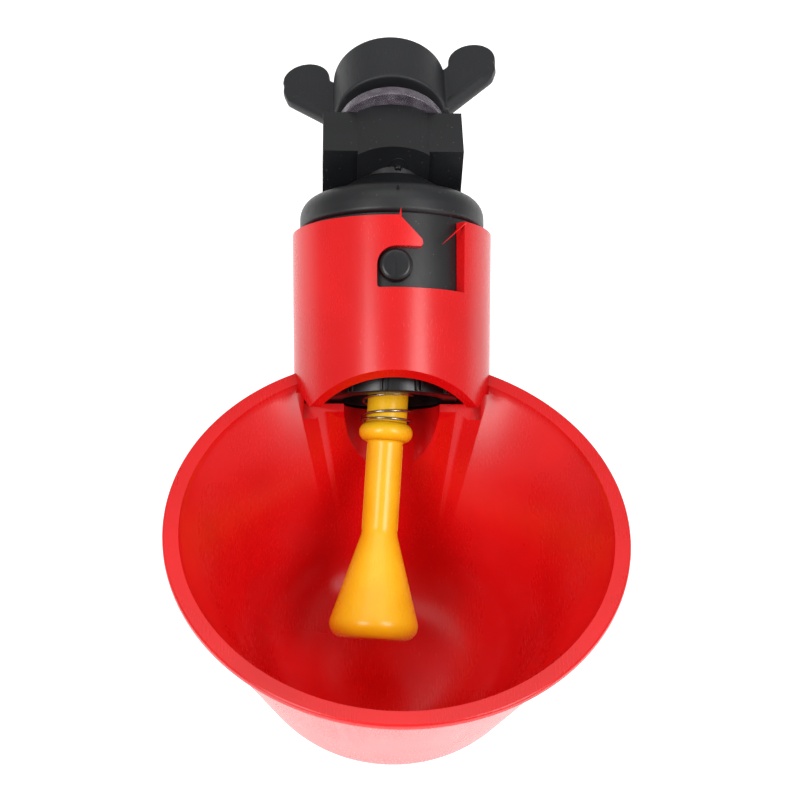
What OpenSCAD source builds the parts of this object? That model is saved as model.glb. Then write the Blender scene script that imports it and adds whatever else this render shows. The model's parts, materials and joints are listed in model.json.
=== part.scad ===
// Cup drinker for poultry, hung from an 8 mm water hose.
// The origin is the centre of the hose bore. +Z is up, and the cup faces -Y.
// The valve axis leans back from +Z. "Along the valve axis" sizes are measured from the hose bore centre.

/* [Cup] */
// Outer diameter of the cup's rim
rim_d = 80; // [72:1:100]
// Depth of the cup outside, from the rim to its base
cup_depth = 44; // [38:1:54]
// Wall thickness of the cup
cup_wall = 2.0; // [1.6:0.1:2.6]
// How far the wall leans in for each millimetre of depth
wall_lean = 0.405; // [0.3:0.005:0.48]
// Outside radius of the curve from wall to base
base_curve = 16; // [12:1:20]
// How far the rim lip stands out from the wall
lip_out = 0.6; // [0.4:0.1:1.6]
// Thickness of the rim lip
lip_thick = 1.4; // [1:0.1:2.4]

/* [Collar] */
// Lean of the valve axis back from the vertical, in degrees
valve_lean = 56; // [50:1:60]
// Bore diameter of the collar that takes the spigot
collar_bore = 32.7; // [30:0.1:36]
// Wall thickness of the collar at its top
collar_wall = 2.05; // [1.6:0.05:2.6]
// Taper of the collar's outside, as a drop in radius over its height
collar_draft = 0.5; // [0:0.1:0.8]
// Distance from the hose bore to the collar's top edge
collar_top = 15.5; // [14:0.1:20]
// Height of the collar's bore
collar_height = 31.3; // [28:0.1:38]
// Thickness of the ledge at the foot of the bore
ledge_thick = 1.9; // [1.2:0.1:3]
// Diameter of the hole that the trigger hangs through
trigger_hole = 17.6; // [16:0.1:20]
// How far the collar hangs over the cup, in front of the valve axis at the rim
overhang = 15.5; // [14:0.1:18]
// How far the collar's foot reaches into the cup below the rim, measured the same way
foot_reach = 9.6; // [8:0.1:11]
// Height of the overhang's lower edge above the rim
overhang_rise = 1.2; // [0.5:0.1:3]

/* [Bayonet] */
// Diameter of the bayonet pins
pin_d = 6.0; // [5:0.1:7]
// Distance of the pins below the collar's top edge
pin_drop = 8.9; // [8:0.1:11]
// Clearance between a pin and its pocket
pin_clear = 0.35; // [0.25:0.05:0.6]
// Angle from the pin to the far end of the slot, in degrees
slot_angle = 43; // [38:1:52]
// Depth of the slot's floor below the pin's centre
slot_floor = 4.1; // [3.8:0.1:5.5]
// Reach of the hook beside the pin
hook_reach = 4.8; // [4.4:0.1:5.6]
// Radius of the hook's tip
hook_tip = 1.2; // [0.8:0.1:1.6]

/* [Valve body] */
// Radial running clearance of the spigot in the collar
spigot_clear = 0.1; // [0.03:0.01:0.1]
// Diameter of the rounded flange over the collar
flange_d = 34.1; // [32:0.1:40]
// Height of the flange
flange_h = 6.2; // [5:0.1:9]
// Radius of the flange's rounded shoulder
flange_round = 4.0; // [3:0.1:5]
// Gap between the flange and the collar's top edge
flange_gap = 0.9; // [0.5:0.1:1.5]
// Length of the spigot below the flange
spigot_len = 15.5; // [14:0.5:18]
// Width of the cross block along the hose
block_w = 25.8; // [22:0.2:32]
// Depth of the cross block, front to back
block_d = 10.9; // [10.5:0.1:14]
// Height of the cross block
block_h = 12.0; // [11.5:0.1:15]
// How much further the block reaches below the hose bore than above it
block_foot = 1.0; // [0:0.1:2]
// How far the boss runs down below the block, into the flange
boss_drop = 2.0; // [1:0.1:3]
// Bore of the water inlet, from the hose bore to the valve's chamber
inlet_d = 3.2; // [2:0.1:4]
// Diameter of the recess for the inlet's rubber ring
seal_d = 6.4; // [5:0.1:8]
// Depth of that recess below the hose bore
seal_h = 1.5; // [1:0.1:2]
// Width of the boss in the middle of the block
boss_w = 13.1; // [11:0.1:15]
// How far the boss's rounded top rises over the block
boss_rise = 2.0; // [1:0.1:3]
// How far the boss stands out in front of the block
boss_out = 1.0; // [0.4:0.1:2]

/* [Hose clamp] */
// Diameter of the hose bore
hose_bore = 8.2; // [7.5:0.1:8.6]
// Outer diameter of the threaded neck
neck_d = 13.8; // [13:0.1:15]
// How far the wing nut can screw in from where it rests
clamp_travel = 2.5; // [1.5:0.1:3]
// Bore diameter of the neck
neck_bore = 9.2; // [8.8:0.1:9.8]
// Thread pitch of the neck
thread_pitch = 2.0; // [1.5:0.25:2.5]
// Depth of the thread
thread_depth = 0.6; // [0.3:0.1:0.8]
// Outer diameter of the clear washer
washer_d = 20.8; // [19:0.1:24]
// Thickness of the clear washer
washer_t = 2.2; // [1.5:0.1:2.5]
// Gap left between the washer and the wing nut
nut_gap = 2.6; // [2.6:0.1:4]
// Diameter of the wing nut
nut_d = 21.6; // [20:0.1:24]
// Height of the wing nut
nut_h = 12.1; // [11:0.1:14]
// Thickness of the wing nut's closed end
nut_end = 2.0; // [1.5:0.1:3]
// Span of the wings from tip to tip
wing_span = 41.6; // [38:0.2:46]
// Thickness of the wings
wing_t = 2.2; // [1.6:0.1:3]
// Turn of the wings away from the hose, in degrees
wing_turn = 9.5; // [-20:0.5:20]

/* [Valve] */
// Diameter of the stub that the retaining nut screws on
stub_d = 21.2; // [20:0.1:22]
// Diameter of the retaining nut, over its wall
cap_d = 24.2; // [23:0.1:26]
// How far the grip ribs stand out
rib_out = 0.7; // [0.3:0.1:1]
// Width of a grip rib
rib_w = 1.0; // [0.6:0.1:1.6]
// Number of grip ribs
rib_count = 12; // [8:1:18]
// Gap between the retaining nut and the collar's ledge
cap_gap = 0.55; // [0.4:0.05:1]
// Depth of the open mouth under the retaining nut's web
cap_mouth = 4.3; // [3:0.1:5]
// Diameter of the open mouth
cap_mouth_d = 18.4; // [17:0.1:20]
// Thickness of the web that carries the spring and gasket
web_t = 2.0; // [1.5:0.1:2.6]
// Diameter of the hole in the web
web_hole = 8.0; // [7.6:0.1:8.3]
// Thickness of the seat gasket
gasket_t = 2.0; // [1.5:0.1:2.5]
// Diameter of the hole in the seat gasket
seat_hole = 8.8; // [8.4:0.1:9.2]
// Bore diameter of the valve chamber
chamber_d = 14; // [13:0.1:15]

/* [Trigger] */
// Lean of the trigger to one side of the valve axis at rest, in degrees
trigger_lean = 3.6; // [0:0.1:4]
// Height of the pivot above the seat
pivot_up = 3.0; // [2.6:0.1:3.6]
// Diameter of the neck that passes through the seat
stem_neck_d = 4.0; // [3.4:0.1:4.2]
// Diameter of the shank inside the spring
upper_shank_d = 7.4; // [6.5:0.1:7.8]
// Diameter of the bead that the spring rests on
bead_d = 9.8; // [9.2:0.1:10.4]
// Length of the bead
bead_l = 3.4; // [2.8:0.1:4]
// Diameter of the long shank
shank_d = 6.4; // [5.5:0.1:7]
// Length from the bead to the start of the paddle
shank_l = 16.8; // [14:0.1:18]
// Diameter of the paddle at its foot
paddle_d = 17.4; // [15:0.1:18]
// Length of the paddle
paddle_l = 19.2; // [16:0.1:20]
// Radius round the paddle's foot
paddle_round = 2.6; // [1.5:0.1:3]

/* [Spring] */
// Outer diameter of the return spring
spring_d = 9.66; // [9.3:0.02:10]
// Diameter of the spring wire
wire_d = 0.55; // [0.4:0.05:0.6]
// Length of the spring between the web and the bead
spring_l = 8.5; // [7.5:0.1:10]
// Number of turns in the spring
spring_turns = 4.3; // [3:0.1:6]

/* [Hidden] */
$fn = 96;

red = "#e01b22";
black = "#2b2b2d";
yellow = "#f6c625";
rubber = "#1d1d1f";
steel = "#c9cbce";
clear = "#b9b4c4";

// A little more than touching, so that cuts go right through
over = 1;
// Clearance between screwed or nested pieces that don't turn in use
fit = 0.1;

// Rim plane and rim centre, found from where the collar meets the rim
collar_r = collar_bore / 2 + collar_wall;
rim_axis = 36.6;
rim_back = sqrt(pow(rim_d / 2, 2) - pow(collar_r - collar_draft, 2)) + 6.05;
rim_z = -rim_axis * cos(valve_lean);
rim_y = -rim_axis * sin(valve_lean) - rim_back;
inner_wall = cup_wall / cos(atan(wall_lean));
cone_top = rim_d / 2 - lip_out;

// Planes where the collar's overhang and its foot end, in front of the valve axis
overhang_y = rim_y + rim_back - overhang;
foot_y = rim_y + rim_back - foot_reach;
// How far the foot and the trigger hole's sleeve run below the ledge
foot_drop = 12.5;

// Radius that makes the boss's rounded top span its width
boss_r = (pow(boss_w / 2, 2) + pow(boss_rise, 2)) / (2 * boss_rise);

// Stations along the valve axis
collar_top_z = -collar_top;
ledge_z = collar_top_z - collar_height;
pin_z = collar_top_z - pin_drop;
flange_z = collar_top_z + flange_gap;
spigot_z = flange_z - spigot_len;
cap_z = ledge_z + cap_gap;
web_z = cap_z + cap_mouth;
gasket_z = web_z + web_t;
stub_z = gasket_z + gasket_t;
pivot_z = stub_z + pivot_up;
cap_top_z = spigot_z - over;
chamber_top_z = flange_z + 2;
head_r = sqrt(pow(seat_hole / 2, 2) + pow(pivot_up, 2)) - fit;
spigot_r = collar_bore / 2 - spigot_clear;

// Stations behind the hose bore, along +Y
block_back = block_d / 2 - 0.1;
block_front = block_back - block_d;
washer_y = block_back + 0.1;
nut_y = washer_y + washer_t + nut_gap;
nut_bore = neck_d + 2 * fit;
nut_back = nut_y + nut_h;
pad_d = neck_bore - 2 * fit;
pad_back = nut_back - nut_end - fit / 2;
neck_end = nut_back - nut_end - clamp_travel - 2 * fit;

// Stations down the trigger from its pivot
shank_top = pivot_z - web_z + 2.2;
bead_top = pivot_z - web_z + spring_l;
shank_bottom = bead_top + bead_l + shank_l;

// Turns +Z to the valve axis
module on_valve_axis() {
    rotate([-valve_lean, 0, 0]) children();
}

// Turns +Z to the clamp axis, which points straight back along +Y
module on_clamp_axis() {
    rotate([-90, 0, 0]) children();
}

// Turns the valve axis frame about the pivot to the trigger's resting lean
module on_trigger() {
    on_valve_axis()
        translate([0, 0, pivot_z])
            rotate([0, trigger_lean, 0])
                children();
}

// Solid between two radii and two heights
module ring(r_out, r_in, z0, z1) {
    translate([0, 0, z0])
        difference() {
            cylinder(r = r_out, h = z1 - z0);
            translate([0, 0, -over]) cylinder(r = r_in, h = z1 - z0 + 2 * over);
        }
}

// V grooves, one pitch apart, cut into a shaft of radius r
module thread_grooves(r, z0, z1) {
    turns = floor((z1 - z0) / thread_pitch);
    for (i = [0 : turns - 1])
        translate([0, 0, z0 + (i + 0.5) * thread_pitch])
            rotate_extrude()
                polygon([[r - thread_depth, 0], [r + over, thread_pitch * 0.75],
                         [r + over, -thread_pitch * 0.75]]);
}

// Outline of a bowl in the (radius, height) half plane, with its top at height 0
function bowl_outline(top_r, depth, curve) =
    let (a = atan(wall_lean),
         centre_r = top_r - wall_lean * (depth - curve) - curve / cos(a),
         centre_z = curve - depth)
    concat([[0, 0], [top_r, 0]],
           [for (t = [0 : 0.125 : 1])
               let (b = -a - t * (90 - a))
               [centre_r + curve * cos(b), centre_z + curve * sin(b)]],
           [[0, -depth]]);

module bowl_outer() {
    translate([0, rim_y, rim_z])
        rotate_extrude()
            polygon(bowl_outline(cone_top, cup_depth, base_curve));
}

module bowl_inner() {
    translate([0, rim_y, rim_z])
        rotate_extrude()
            polygon(bowl_outline(cone_top - inner_wall, cup_depth - cup_wall, base_curve - cup_wall));
}

module rim_lip() {
    translate([0, rim_y, rim_z - lip_thick])
        cylinder(r = rim_d / 2, h = lip_thick);
}

// The collar tube with its ledge, and a sleeve that follows the trigger hole down the cup's wall
module collar_blank() {
    on_valve_axis() {
        translate([0, 0, ledge_z - ledge_thick])
            cylinder(r1 = collar_r - collar_draft, r2 = collar_r, h = collar_height + ledge_thick);
        translate([0, 0, ledge_z - foot_drop])
            cylinder(d = trigger_hole + 2 * cup_wall, h = foot_drop);
    }
}

// The collar's foot: it fills the corner between the collar and the cup's wall, down to below the ledge
module collar_foot() {
    intersection() {
        on_valve_axis()
            translate([0, 0, ledge_z - foot_drop])
                cylinder(r = collar_r - collar_draft, h = foot_drop);
        bowl_outer();
    }
}

// Space in front of the collar's overhang and foot, so that the cup's mouth is open
module overhang_cut() {
    rotate([90, 0, 90])
        translate([0, 0, -rim_d])
            linear_extrude(height = 2 * rim_d)
                polygon([[rim_y - rim_d, rim_z - cup_depth], [foot_y, rim_z - cup_depth], [foot_y, rim_z],
                         [overhang_y, rim_z + overhang_rise], [overhang_y, rim_z + rim_d],
                         [rim_y - rim_d, rim_z + rim_d]]);
}

// The ledge's front half is open to the cup, so that the trigger and nut hang free
module ledge_mouth() {
    on_valve_axis()
        intersection() {
            translate([0, 0, ledge_z - ledge_thick - over])
                cylinder(d = collar_bore, h = ledge_thick + 2 * over);
            translate([-rim_d, -2 * rim_d, ledge_z - rim_d]) cube(2 * rim_d);
        }
}

// One bayonet slot and its pin pocket, open through the collar's top edge
module bayonet_slot() {
    floor_z = pin_z - slot_floor;
    pocket_r = pin_d / 2 + pin_clear;
    rotate([0, 0, -90])
        translate([0, 0, floor_z])
            rotate_extrude(angle = slot_angle)
                translate([collar_bore / 2 - over, 0])
                    square([collar_wall + 2 * over, collar_top_z - floor_z + over]);
    translate([0, 0, pin_z])
        rotate([90, 0, 0])
            cylinder(r = pocket_r, h = collar_r + over);
    translate([-pocket_r, -collar_r - over, floor_z])
        cube([pocket_r, collar_r + over, slot_floor]);
}

// The hook that closes the pin's pocket, cut from the collar's own wall
module bayonet_hook() {
    tip_z = pin_z + pin_d / 2 + pin_clear + hook_tip;
    root_z = collar_top_z;
    intersection() {
        difference() {
            ring(collar_r, collar_bore / 2, pin_z, collar_top_z);
            translate([0, 0, pin_z])
                rotate([90, 0, 0]) cylinder(r = pin_d / 2 + pin_clear, h = collar_r + over);
        }
        rotate([90, 0, 0])
            linear_extrude(height = collar_r + over) {
                translate([hook_reach - hook_tip, tip_z]) circle(r = hook_tip);
                polygon([[-over, root_z], [0.6, root_z],
                         [hook_reach - hook_tip * 0.3, tip_z + hook_tip * 0.714],
                         [hook_reach - hook_tip, tip_z - hook_tip], [-over, tip_z - hook_tip]]);
            }
    }
}

module drinking_cup() {
    color(red)
        difference() {
            union() {
                difference() {
                    union() {
                        bowl_outer();
                        rim_lip();
                    }
                    bowl_inner();
                }
                difference() {
                    union() {
                        collar_blank();
                        collar_foot();
                    }
                    overhang_cut();
                    on_valve_axis() {
                        bayonet_slot();
                        rotate([0, 0, 180]) bayonet_slot();
                    }
                }
                on_valve_axis() {
                    bayonet_hook();
                    rotate([0, 0, 180]) bayonet_hook();
                }
            }
            on_valve_axis() {
                translate([0, 0, ledge_z])
                    cylinder(d = collar_bore, h = collar_height + over);
                translate([0, 0, ledge_z - 40])
                    cylinder(d = trigger_hole, h = 40 + over);
            }
            ledge_mouth();
        }
}

// Rounded flange, with its shoulder as a quarter circle
module flange() {
    r = flange_d / 2;
    translate([0, 0, flange_z])
        rotate_extrude() {
            square([r - flange_round, flange_h]);
            square([r - over, flange_h - flange_round]);
            translate([0, over]) square([r, flange_h - flange_round - over]);
            translate([r - over, over]) circle(r = over);
            translate([r - flange_round, flange_h - flange_round]) circle(r = flange_round);
        }
}

// Cone that gathers the flange into the boss
module skirt() {
    translate([0, 0, flange_z + flange_h - over])
        cylinder(r1 = flange_d / 2 - flange_round + 0.8, r2 = boss_w / 2 - 0.3, h = 4.6);
}

module bayonet_pin() {
    translate([0, 0, pin_z])
        rotate([90, 0, 0]) {
            translate([0, 0, chamber_d / 2 + over])
                cylinder(d = pin_d, h = collar_r - 0.6 - chamber_d / 2 - over);
            translate([0, 0, collar_r - 0.6]) intersection() {
                translate([0, 0, -pin_d * 0.9]) sphere(r = pin_d * 1.03);
                cylinder(d = pin_d, h = pin_d);
            }
        }
}

// Block round the hose, with the boss that stands out in front of it
module cross_block() {
    translate([-block_w / 2, block_front, -block_h / 2 - block_foot])
        cube([block_w, block_d, block_h + block_foot]);
    intersection() {
        translate([0, block_front - boss_out, block_h / 2 + boss_rise - boss_r])
            on_clamp_axis() cylinder(r = boss_r, h = block_d + boss_out);
        translate([-boss_w / 2, block_front - over - boss_out, -block_h / 2])
            cube([boss_w, block_d + 2 * over + boss_out, block_h * 2]);
    }
    translate([-boss_w / 2, block_front - boss_out, -block_h / 2 - boss_drop])
        cube([boss_w, -block_front + boss_out, block_h / 2 + boss_drop]);
}

module valve_body() {
    color(black)
        difference() {
            union() {
                cross_block();
                on_clamp_axis()
                    translate([0, 0, block_back - over])
                        cylinder(d = neck_d, h = neck_end - block_back + over);
                on_valve_axis() {
                    flange();
                    skirt();
                    translate([0, 0, flange_z + over]) cylinder(d = boss_w - 0.6, h = -flange_z);
                    translate([0, 0, spigot_z]) cylinder(r = spigot_r, h = spigot_len + over);
                    translate([0, 0, stub_z]) cylinder(d = stub_d, h = spigot_z - stub_z + over);
                    bayonet_pin();
                    rotate([0, 0, 180]) bayonet_pin();
                }
            }
            rotate([0, 90, 0]) cylinder(d = hose_bore, h = block_w + 2 * over, center = true);
            on_clamp_axis() {
                translate([0, 0, -over]) cylinder(d = neck_bore, h = nut_back);
                thread_grooves(neck_d / 2, washer_y + washer_t, neck_end);
            }
            on_valve_axis() {
                translate([0, 0, stub_z - over]) cylinder(d = chamber_d, h = chamber_top_z - stub_z + over);
                translate([0, 0, chamber_top_z - over]) cylinder(d = inlet_d, h = -chamber_top_z);
                translate([0, 0, -hose_bore / 2 - seal_h]) cylinder(d = seal_d, h = hose_bore / 2 + seal_h);
                ring(spigot_r - 2, stub_d / 2 + 0.4, spigot_z - over, flange_z - 1);
                thread_grooves(stub_d / 2, stub_z, spigot_z - over);
            }
        }
}

// Rubber ring round the inlet, trimmed flush with the hose bore
module inlet_seal() {
    color(rubber)
        difference() {
            on_valve_axis() ring(seal_d / 2 - fit, inlet_d / 2, -hose_bore / 2 - seal_h, -over);
            rotate([0, 90, 0]) cylinder(d = hose_bore + fit, h = block_w, center = true);
        }
}

module retaining_nut() {
    color(black)
        on_valve_axis()
            difference() {
                union() {
                    translate([0, 0, cap_z]) cylinder(d = cap_d, h = cap_top_z - cap_z);
                    for (i = [0 : rib_count - 1])
                        rotate([0, 0, i * 360 / rib_count - 90])
                            translate([cap_d / 2 - over, -rib_w / 2, cap_z])
                                cube([over + rib_out, rib_w, cap_top_z - cap_z - over]);
                }
                translate([0, 0, cap_z - over]) cylinder(d = cap_mouth_d, h = cap_mouth + over);
                translate([0, 0, web_z - over]) cylinder(d = web_hole, h = web_t + 2 * over);
                translate([0, 0, gasket_z]) cylinder(d = stub_d + 2 * fit, h = cap_top_z - gasket_z + over);
            }
}

module seat_gasket() {
    color(rubber)
        on_valve_axis()
            ring(stub_d / 2 - fit, seat_hole / 2, gasket_z, stub_z);
}

// Round-bottomed head that closes the seat, pushed on the top of the trigger
module valve_head() {
    color(rubber)
        on_trigger()
            difference() {
                intersection() {
                    sphere(r = head_r);
                    translate([0, 0, -head_r * 0.86]) cylinder(r = head_r, h = head_r * 1.4);
                }
                translate([0, 0, -head_r]) cylinder(d = stem_neck_d + fit, h = head_r + 1.5);
            }
}

module trigger_stem() {
    color(yellow)
        on_trigger()
            mirror([0, 0, 1]) {
                translate([0, 0, -1.4]) cylinder(d = stem_neck_d, h = shank_top + 2.4);
                translate([0, 0, shank_top]) cylinder(d = upper_shank_d, h = bead_top - shank_top + over);
                bead();
                translate([0, 0, bead_top + over]) cylinder(d = shank_d, h = bead_l + shank_l);
                paddle();
            }
}

module bead() {
    edge = bead_l / 2;
    translate([0, 0, bead_top + edge])
        rotate_extrude() {
            translate([bead_d / 2 - edge, 0]) circle(r = edge);
            translate([0, -edge]) square([bead_d / 2 - edge, bead_l]);
        }
}

// Cone with a round foot, its flank tangent to the round
module paddle() {
    rise = paddle_l - paddle_round;
    spread = paddle_d / 2 - paddle_round - shank_d / 2;
    reach = norm([rise, spread]);
    flank = atan2(spread, rise) + asin(paddle_round / reach);
    translate([0, 0, shank_bottom])
        rotate_extrude() {
            translate([paddle_d / 2 - paddle_round, rise]) circle(r = paddle_round);
            polygon([[0, 0], [shank_d / 2, 0],
                     [paddle_d / 2 - paddle_round + paddle_round * cos(flank), rise - paddle_round * sin(flank)],
                     [paddle_d / 2 - paddle_round, rise],
                     [paddle_d / 2 - paddle_round, paddle_l], [0, paddle_l]]);
        }
}

// Height of the spring's centre line after a share t of its turns; the last turn lies closed on the bead
function spring_z(t) =
    let (closed = 1 / spring_turns, run = spring_l - 3 * wire_d)
    wire_d / 2 + (t < closed ? t / closed * wire_d : wire_d + (t - closed) / (1 - closed) * (run + wire_d));

function spring_point(i, steps, side, sides) =
    let (t = i / steps,
         turn = 360 * spring_turns * t,
         around = 360 * side / sides,
         r = (spring_d - wire_d) / 2 + wire_d / 2 * cos(around))
    [r * cos(turn), r * sin(turn), spring_z(t) + wire_d / 2 * sin(around)];

module return_spring() {
    sides = 8;
    steps = floor(24 * spring_turns);
    last = steps * sides;
    color(steel)
        on_trigger()
            translate([0, 0, -bead_top])
                polyhedron(
                    points = [for (i = [0 : steps], k = [0 : sides - 1]) spring_point(i, steps, k, sides)],
                    faces = concat(
                        [[for (k = [0 : sides - 1]) k]],
                        [for (i = [0 : steps - 1], k = [0 : sides - 1])
                            let (n = (k + 1) % sides)
                            [i * sides + k, (i + 1) * sides + k, (i + 1) * sides + n, i * sides + n]],
                        [[for (k = [sides - 1 : -1 : 0]) last + k]]));
}

// Plunger in the neck, hollowed at the front to the hose's curve
module clamp_pad() {
    color(black)
        difference() {
            on_clamp_axis() cylinder(d = pad_d, h = pad_back);
            rotate([0, 90, 0]) cylinder(d = hose_bore + fit, h = block_w, center = true);
            translate([-block_w / 2, -over, -block_h]) cube([block_w, hose_bore / 4 + over, 2 * block_h]);
        }
}

module clear_washer() {
    color(clear, 0.5)
        on_clamp_axis() ring(washer_d / 2, neck_d / 2 + fit, washer_y, washer_y + washer_t);
}

// One wing, in the plane that holds the clamp axis, with x out from the axis and y along it
module wing_outline() {
    lobe_r = 4.6;
    lobe_x = wing_span / 2 - lobe_r;
    lobe_y = 14.2;
    difference() {
        union() {
            translate([lobe_x, lobe_y]) circle(r = lobe_r);
            polygon([[nut_d / 2 - over, 0], [nut_d / 2 + 0.4, 0], [wing_span / 2 - 0.9, 8.4],
                     [wing_span / 2, 10.8], [wing_span / 2, lobe_y],
                     [lobe_x - lobe_r, lobe_y], [nut_d / 2 - over, lobe_y]]);
        }
        translate([-over, nut_h + over]) square([over + nut_d / 2, lobe_y]);
    }
}

module wing_nut() {
    color(black)
        on_clamp_axis()
            translate([0, 0, nut_y])
                rotate([0, 0, -wing_turn])
                    difference() {
                        union() {
                            cylinder(d = nut_d, h = nut_h);
                            for (side = [0, 180])
                                rotate([90, 0, side])
                                    linear_extrude(height = wing_t, center = true)
                                        wing_outline();
                        }
                        translate([0, 0, -over]) cylinder(d = nut_bore, h = nut_h - nut_end + over);
                    }
}

drinking_cup();
valve_body();
inlet_seal();
retaining_nut();
seat_gasket();
valve_head();
trigger_stem();
return_spring();
clamp_pad();
clear_washer();
wing_nut();
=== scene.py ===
"""Cup drinker for poultry: the visual model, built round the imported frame.

The frame is level: +X runs along the hose bore, +Y back along the clamp screw, and +Z up, with the cup's
rim level. Sizes in the classes are in millimetres. Meshes are shaped in millimetres and end in metres.
"""

import json
import logging
import math
from dataclasses import dataclass, field
from enum import Enum
from typing import Any, Sequence

import bmesh
import bpy
from mathutils import Matrix, Vector

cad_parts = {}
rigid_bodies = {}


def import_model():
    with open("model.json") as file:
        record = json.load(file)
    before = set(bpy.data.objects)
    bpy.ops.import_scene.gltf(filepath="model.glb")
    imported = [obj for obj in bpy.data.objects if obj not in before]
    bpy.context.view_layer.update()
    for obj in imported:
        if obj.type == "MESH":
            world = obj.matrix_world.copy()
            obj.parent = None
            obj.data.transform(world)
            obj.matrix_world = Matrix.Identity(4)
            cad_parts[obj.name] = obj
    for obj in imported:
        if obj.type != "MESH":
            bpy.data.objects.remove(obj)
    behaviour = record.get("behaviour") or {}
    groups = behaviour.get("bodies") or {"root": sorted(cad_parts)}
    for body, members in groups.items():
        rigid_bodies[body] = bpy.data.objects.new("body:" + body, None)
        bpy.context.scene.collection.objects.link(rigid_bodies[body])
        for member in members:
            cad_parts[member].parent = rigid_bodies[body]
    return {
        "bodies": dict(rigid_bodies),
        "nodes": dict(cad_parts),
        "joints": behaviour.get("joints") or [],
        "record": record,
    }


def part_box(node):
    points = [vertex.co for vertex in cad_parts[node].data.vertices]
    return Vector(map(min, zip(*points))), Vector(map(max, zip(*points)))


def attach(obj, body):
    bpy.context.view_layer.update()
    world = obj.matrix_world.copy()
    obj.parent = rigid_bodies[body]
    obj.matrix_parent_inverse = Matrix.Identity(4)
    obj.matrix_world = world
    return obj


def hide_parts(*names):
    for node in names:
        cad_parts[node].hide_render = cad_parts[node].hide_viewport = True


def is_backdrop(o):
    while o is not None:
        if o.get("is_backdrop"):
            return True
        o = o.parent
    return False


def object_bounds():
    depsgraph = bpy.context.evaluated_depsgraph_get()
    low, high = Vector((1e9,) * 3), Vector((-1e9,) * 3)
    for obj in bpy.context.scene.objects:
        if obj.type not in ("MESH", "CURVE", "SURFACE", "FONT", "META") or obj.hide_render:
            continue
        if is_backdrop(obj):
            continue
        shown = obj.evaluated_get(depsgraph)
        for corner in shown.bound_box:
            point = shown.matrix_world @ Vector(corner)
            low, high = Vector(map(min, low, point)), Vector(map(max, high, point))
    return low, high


LOG = logging.getLogger("cup_drinker")
MM = 0.001
FULL_TURN = 2 * math.pi
Corner = tuple[float, float, float]
Point = tuple[float, float]


class Carve(Enum):
    """The ways that one solid can act on another."""

    CUT = "DIFFERENCE"
    JOIN = "UNION"
    KEEP = "INTERSECT"


# ---------------------------------------------------------------- outlines and solids


def rounded(corners: Sequence[Corner], closed: bool = True, steps: int = 6) -> list[Point]:
    """Rounds the corners of an outline.

    Args:
        corners: (x, y, radius) of each corner, with radius 0 for a sharp one.
        closed: whether the last corner joins the first.
        steps: the number of segments in each rounded corner.

    Returns:
        The outline's points, with arcs in place of the rounded corners.
    """
    points: list[Point] = []
    count = len(corners)
    for i, (x, y, radius) in enumerate(corners):
        here = Vector((x, y))
        if radius <= 0 or (not closed and i in (0, count - 1)):
            points.append((x, y))
            continue
        before = (Vector(corners[i - 1][:2]) - here).normalized()
        after = (Vector(corners[(i + 1) % count][:2]) - here).normalized()
        half = before.angle(after) / 2
        centre = here + (before + after).normalized() * (radius / math.sin(half))
        start = here + before * (radius / math.tan(half)) - centre
        sweep = start.angle_signed(here + after * (radius / math.tan(half)) - centre)
        for k in range(steps + 1):
            turned = Matrix.Rotation(-sweep * k / steps, 2) @ start
            points.append(tuple(centre + turned))
    return points


def solid_from(bm: bmesh.types.BMesh, name: str, place: Matrix) -> bpy.types.Object:
    """Turns a mesh in millimetres into a linked object, with its place in its mesh.

    Args:
        bm: the mesh, which is freed.
        name: the object's name.
        place: where the mesh goes, in millimetres.

    Returns:
        The object.
    """
    bmesh.ops.remove_doubles(bm, verts=bm.verts, dist=1e-4)
    bm.transform(place)
    bmesh.ops.recalc_face_normals(bm, faces=bm.faces)
    if bm.calc_volume(signed=True) < 0:
        bmesh.ops.reverse_faces(bm, faces=bm.faces)
    mesh = bpy.data.meshes.new(name)
    bm.to_mesh(mesh)
    bm.free()
    made = bpy.data.objects.new(name, mesh)
    bpy.context.scene.collection.objects.link(made)
    return made


def revolve(outline: Sequence[Point], place: Matrix, name: str = "turned",
            steps: int = 128) -> bpy.types.Object:
    """Spins an outline of (radius, height) points about the local Z axis.

    Args:
        outline: the points. It is closed unless it starts and ends on the axis.
        place: where the result goes.
        name: the object's name.
        steps: the number of segments round the axis.

    Returns:
        A closed solid of revolution.
    """
    bm = bmesh.new()
    verts = [bm.verts.new((r, 0, z)) for r, z in outline]
    edges = [bm.edges.new(pair) for pair in zip(verts, verts[1:])]
    if outline[0][0] > 1e-6 or outline[-1][0] > 1e-6:
        edges.append(bm.edges.new((verts[-1], verts[0])))
    bmesh.ops.spin(bm, geom=verts + edges, cent=(0, 0, 0), axis=(0, 0, 1), angle=FULL_TURN, steps=steps,
                   use_merge=True, use_duplicate=False)
    bmesh.ops.remove_doubles(bm, verts=bm.verts, dist=1e-4)
    return solid_from(bm, name, place)


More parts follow.
